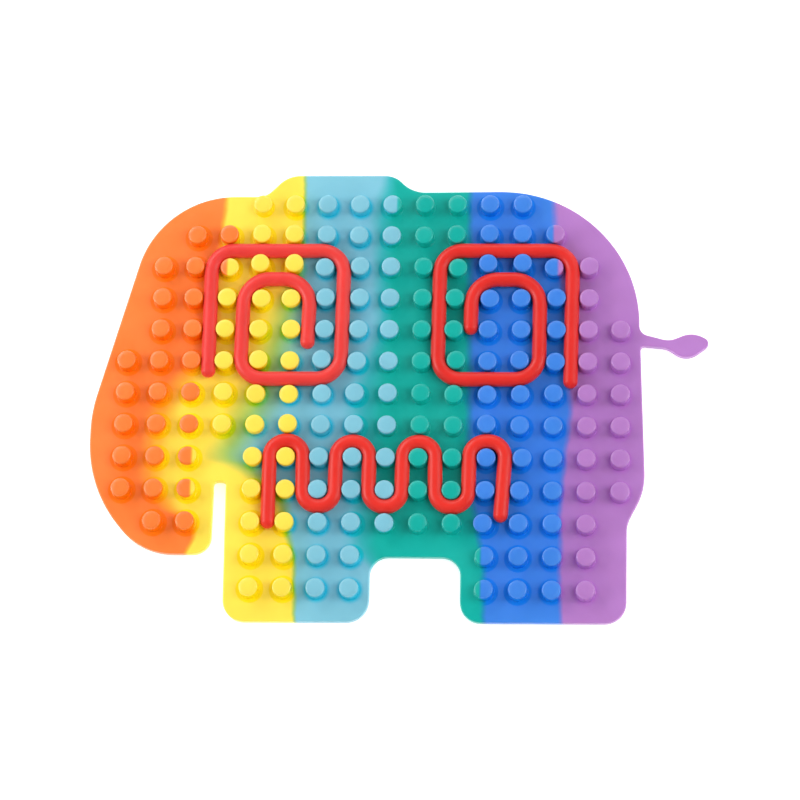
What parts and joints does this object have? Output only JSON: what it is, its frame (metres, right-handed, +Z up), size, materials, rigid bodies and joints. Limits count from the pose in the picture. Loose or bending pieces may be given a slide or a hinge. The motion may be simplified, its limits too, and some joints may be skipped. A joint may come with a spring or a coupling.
{
  "type": "silicone stud board toy",
  "caption": "Elephant-shaped soft silicone board covered in short round studs, with bendy silicone noodles pressed into the channels between the studs as eyes and a mouth.",
  "frame": {"origin": "centre of the board's outline, on the surface that its flat back lies on", "axes": "+X from the trunk to the tail, along the elephant's length; +Y from the feet to the crown; +Z up out of the studs"},
  "size_m": [0.2246, 0.1684, 0.008],
  "materials": {
    "orange_silicone": "satin",
    "yellow_silicone": "satin",
    "light_blue_silicone": "satin",
    "green_silicone": "satin",
    "blue_silicone": "satin",
    "purple_silicone": "satin",
    "red_silicone": "satin"
  },
  "bodies": {
    "board": {"board_orange": "orange_silicone", "board_yellow": "yellow_silicone", "board_light_blue": "light_blue_silicone", "board_green": "green_silicone", "board_blue": "blue_silicone", "board_purple": "purple_silicone"},
    "left_eye": {"noodle_left_eye": "red_silicone"},
    "right_eye": {"noodle_right_eye": "red_silicone"},
    "mouth": {"noodle_mouth": "red_silicone"}
  },
  "joints": [
    {"name": "left_eye_lift", "type": "slide", "parent": "board", "child": "left_eye", "axis": [0, 0, 1], "range_m": [0, 0.03]},
    {"name": "right_eye_lift", "type": "slide", "parent": "board", "child": "right_eye", "axis": [0, 0, 1], "range_m": [0, 0.03]},
    {"name": "mouth_lift", "type": "slide", "parent": "board", "child": "mouth", "axis": [0, 0, 1], "range_m": [0, 0.03]}
  ]
}
